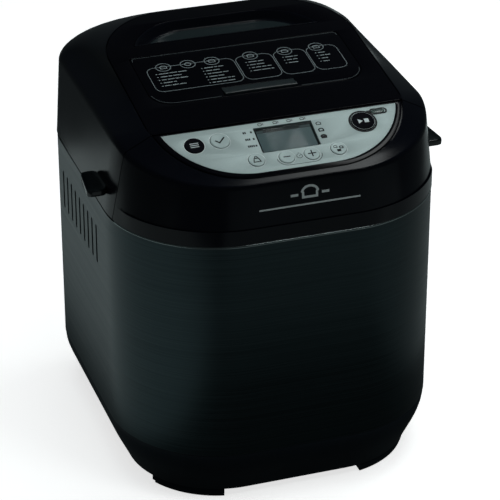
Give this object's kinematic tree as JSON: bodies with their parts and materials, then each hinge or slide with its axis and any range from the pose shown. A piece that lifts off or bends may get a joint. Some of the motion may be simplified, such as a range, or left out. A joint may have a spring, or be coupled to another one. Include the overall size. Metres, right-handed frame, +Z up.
{
  "type": "bread machine",
  "caption": "Countertop bread machine: dark metal casing, black hinged lid with dispenser flap and window, silver sloping control panel, lift-out pan with kneading drive.",
  "frame": {"origin": "middle of the footprint, on the surface that the machine stands on", "axes": "+Z up, -Y out of the front with the control panel, +X to the right seen from the front"},
  "size_m": [0.277, 0.259, 0.3109],
  "materials": {
    "black_plastic": "fine satin moulding",
    "housing_plastic": "semi-gloss moulding",
    "gloss_strip": "high gloss",
    "rubber": "matt",
    "dark_metal": "dark blue-grey brushed coating",
    "bright_trim": "polished",
    "fascia_silver": "satin brushed",
    "clear_lens": "clear",
    "lcd": "reflective display",
    "lamp_lens": "translucent",
    "circuit_board": "solder mask",
    "brown_board": "phenolic board",
    "oven_steel": "aluminised sheet",
    "heater_tube": "heat-darkened",
    "zinc_steel": "zinc plated",
    "cast_alloy": "as cast",
    "bearing_steel": "ground",
    "belt_rubber": "matt",
    "motor_iron": "lacquered laminations",
    "capacitor_can": "smooth",
    "wire_cover": "smooth",
    "window_glass": "smoked",
    "seal": "matt",
    "grip_grey": "satin",
    "key_silver": "satin",
    "key_black": "semi-gloss",
    "nonstick": "non-stick coating on aluminium",
    "bronze": "sintered",
    "pulley_plastic": "smooth",
    "solenoid_coil": "smooth"
  },
  "bodies": {
    "housing": {"base_tray": "black_plastic", "corner_feet": "black_plastic", "foot_pads": "rubber", "metal_wrap": "dark_metal", "wrap_trim": "bright_trim", "top_deck": "black_plastic", "front_housing": "housing_plastic", "panel_carrier": "gloss_strip", "fascia_panel": "fascia_silver", "lcd_window": "clear_lens", "lcd_module": "lcd", "indicator_lens": "lamp_lens", "control_board": "circuit_board", "oven_liner": "oven_steel", "heating_element": "heater_tube", "temperature_probe": "bearing_steel", "chassis_frame": "zinc_steel", "bearing_housing": "cast_alloy", "spindle_bearings": "bearing_steel", "drive_belt": "belt_rubber", "motor_stator": "motor_iron", "motor_bracket": "zinc_steel", "motor_capacitor": "capacitor_can", "power_board": "brown_board", "cord_gland": "black_plastic", "pan_clips": "zinc_steel", "hinge_pins": "bearing_steel", "housing_screws": "zinc_steel", "wiring_loom": "wire_cover"},
    "lid": {"lid_shell": "housing_plastic", "lid_frame": "black_plastic", "lid_grips": "black_plastic", "top_insert": "gloss_strip", "window_bezel": "black_plastic", "lid_window": "window_glass", "lid_liner": "oven_steel", "lid_gasket": "seal", "dispenser_box": "black_plastic", "lid_pins": "bearing_steel", "trap_solenoid": "solenoid_coil"},
    "flap": {"dispenser_flap": "gloss_strip", "flap_grip": "grip_grey"},
    "trap": {"dispenser_trap": "black_plastic"},
    "menu_key": {"menu_button": "key_black"},
    "select_key": {"select_button": "key_silver"},
    "weight_key": {"weight_button": "key_silver"},
    "minus_key": {"minus_button": "key_silver"},
    "plus_key": {"plus_button": "key_silver"},
    "crust_key": {"crust_button": "key_silver"},
    "start_key": {"start_button": "key_black"},
    "pan": {"bread_pan": "nonstick", "pan_bushing": "bronze", "handle_pins": "bearing_steel"},
    "handle": {"pan_handle": "bearing_steel"},
    "paddle": {"paddle_shaft": "bearing_steel", "kneading_paddle": "nonstick"},
    "drive": {"drive_spindle": "zinc_steel", "large_pulley": "pulley_plastic"},
    "motor": {"motor_rotor": "bearing_steel", "small_pulley": "pulley_plastic"}
  },
  "joints": [
    {"name": "lid_hinge", "type": "hinge", "parent": "housing", "child": "lid", "pos_m": [0, 0.1255, 0.2295], "axis": [-1, 0, 0], "range_deg": [0, 80]},
    {"name": "flap_hinge", "type": "hinge", "parent": "lid", "child": "flap", "pos_m": [0, 0.03163, 0.3013], "axis": [-1, 0, 0], "range_deg": [0, 75]},
    {"name": "trap_hinge", "type": "hinge", "parent": "lid", "child": "trap", "pos_m": [0, -0.0248, 0.2696], "axis": [-1, 0, 0], "range_deg": [0, 80]},
    {"name": "menu_press", "type": "slide", "parent": "housing", "child": "menu_key", "axis": [0, 0.3746, -0.9272], "range_m": [0, 0.0008], "stiffness_N_per_m": 1500, "springref_m": -0.0004},
    {"name": "select_press", "type": "slide", "parent": "housing", "child": "select_key", "axis": [0, 0.3746, -0.9272], "range_m": [0, 0.0008], "stiffness_N_per_m": 1500, "springref_m": -0.0004},
    {"name": "weight_press", "type": "slide", "parent": "housing", "child": "weight_key", "axis": [0, 0.3746, -0.9272], "range_m": [0, 0.0008], "stiffness_N_per_m": 1500, "springref_m": -0.0004},
    {"name": "minus_press", "type": "slide", "parent": "housing", "child": "minus_key", "axis": [0, 0.3746, -0.9272], "range_m": [0, 0.0008], "stiffness_N_per_m": 1500, "springref_m": -0.0004},
    {"name": "plus_press", "type": "slide", "parent": "housing", "child": "plus_key", "axis": [0, 0.3746, -0.9272], "range_m": [0, 0.0008], "stiffness_N_per_m": 1500, "springref_m": -0.0004},
    {"name": "crust_press", "type": "slide", "parent": "housing", "child": "crust_key", "axis": [0, 0.3746, -0.9272], "range_m": [0, 0.0008], "stiffness_N_per_m": 1500, "springref_m": -0.0004},
    {"name": "start_press", "type": "slide", "parent": "housing", "child": "start_key", "axis": [0, 0.3746, -0.9272], "range_m": [0, 0.0008], "stiffness_N_per_m": 1500, "springref_m": -0.0004},
    {"name": "pan_lift", "type": "slide", "parent": "housing", "child": "pan", "axis": [0, 0, 1], "range_m": [0, 0.008]},
    {"name": "handle_swing", "type": "hinge", "parent": "pan", "child": "handle", "pos_m": [0, 0.027, 0.208], "axis": [1, 0, 0], "range_deg": [0, 90]},
    {"name": "drive_spin", "type": "hinge", "parent": "housing", "child": "drive", "pos_m": [0, 0.027, 0.03], "axis": [0, 0, 1], "continuous": true},
    {"name": "motor_spin", "type": "hinge", "parent": "housing", "child": "motor", "pos_m": [0.052, -0.088, 0.03], "axis": [0, 0, 1], "continuous": true},
    {"name": "paddle_spin", "type": "hinge", "parent": "pan", "child": "paddle", "pos_m": [0, 0.027, 0.09], "axis": [0, 0, 1], "continuous": true}
  ],
  "couplings": [
    {"joint": "motor_spin", "follows": "drive_spin", "ratio": 5.8571},
    {"joint": "paddle_spin", "follows": "drive_spin", "ratio": 1}
  ]
}
